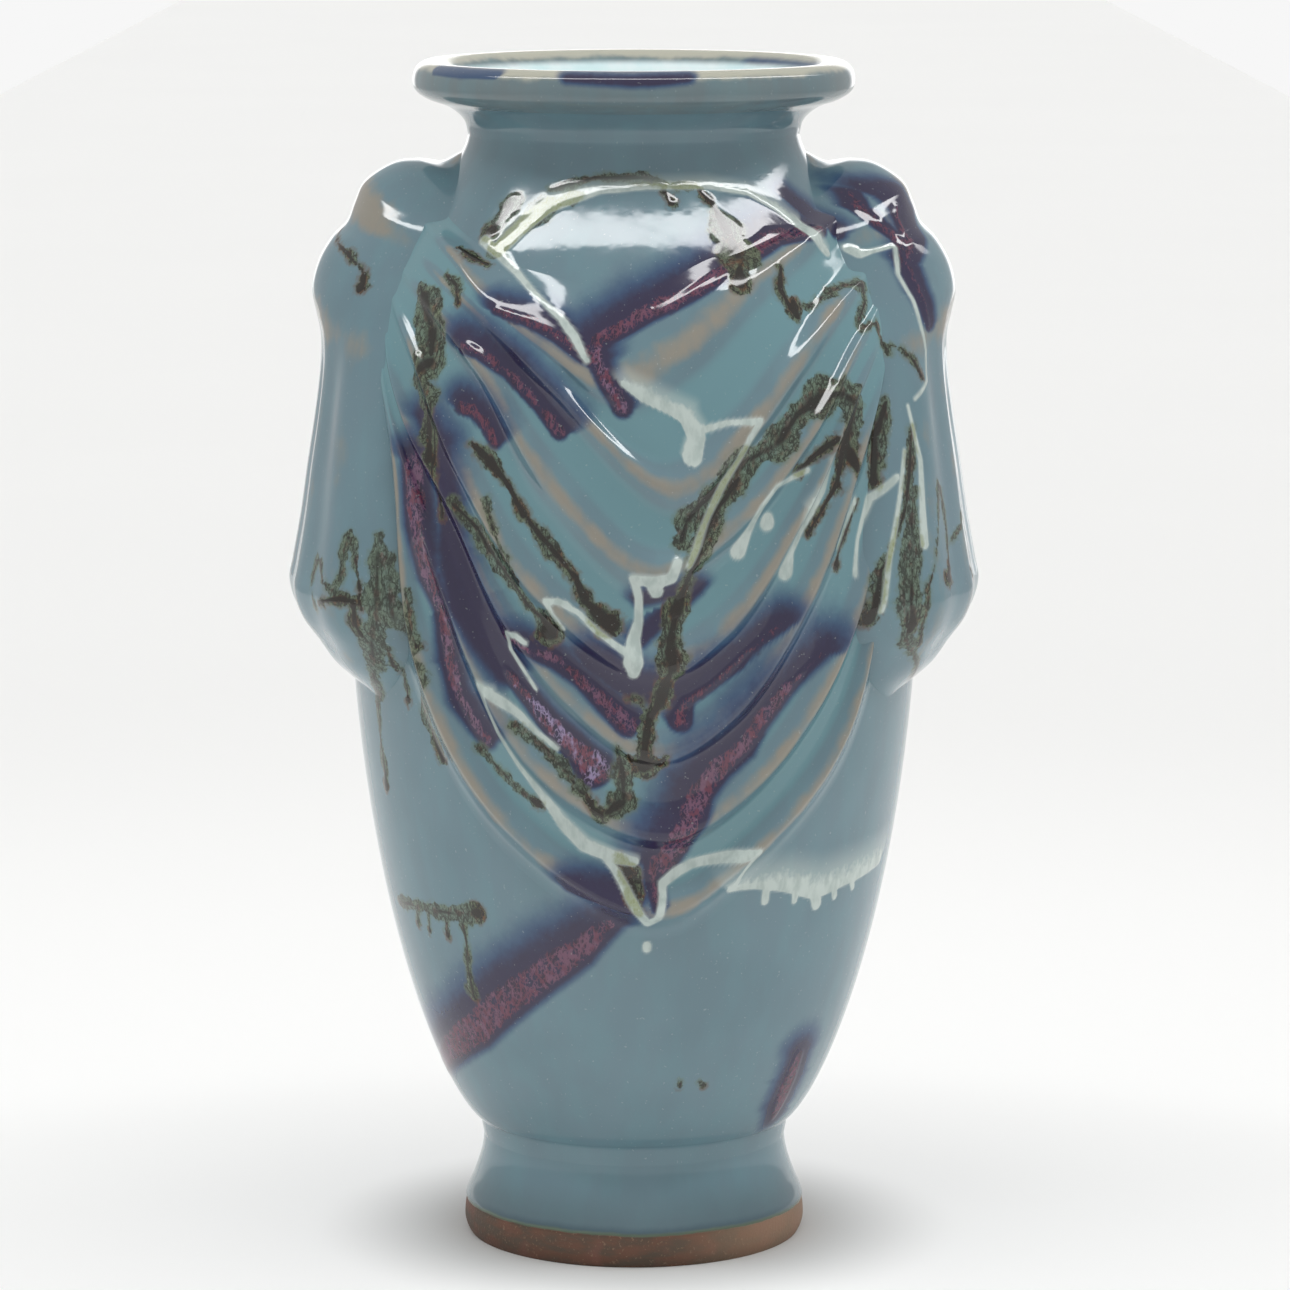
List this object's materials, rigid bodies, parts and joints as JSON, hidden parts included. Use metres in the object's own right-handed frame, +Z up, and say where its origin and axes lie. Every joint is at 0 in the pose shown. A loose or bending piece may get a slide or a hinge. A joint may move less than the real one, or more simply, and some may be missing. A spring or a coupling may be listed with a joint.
{
  "type": "stoneware pottery vase",
  "caption": "Tall shouldered stoneware vase with luted cloth-like drapery, gathered at both sides, on a turned foot, with a rolled rim and a streaked blue glaze.",
  "frame": {"origin": "centre of the foot's resting face", "axes": "+Z up along the vase's axis, -Y towards the front of the drapery, +X towards the right-hand gather as seen from the front"},
  "size_m": [0.181, 0.162, 0.31],
  "materials": {
    "body_glaze": "gloss",
    "drape_glaze": "gloss",
    "gather_glaze": "gloss",
    "rim_glaze": "gloss",
    "inside_glaze": "gloss",
    "foot_glaze": "glazed above a bare clay edge"
  },
  "bodies": {
    "root": {"foot_ring": "foot_glaze", "floor_slab": "inside_glaze", "lower_wall": "body_glaze", "belly_wall": "body_glaze", "shoulder_wall": "body_glaze", "neck_collar": "body_glaze", "rim_roll": "rim_glaze", "front_drape": "drape_glaze", "back_drape": "drape_glaze", "left_gather": "gather_glaze", "right_gather": "gather_glaze", "left_tail": "gather_glaze", "right_tail": "gather_glaze"}
  },
  "joints": []
}
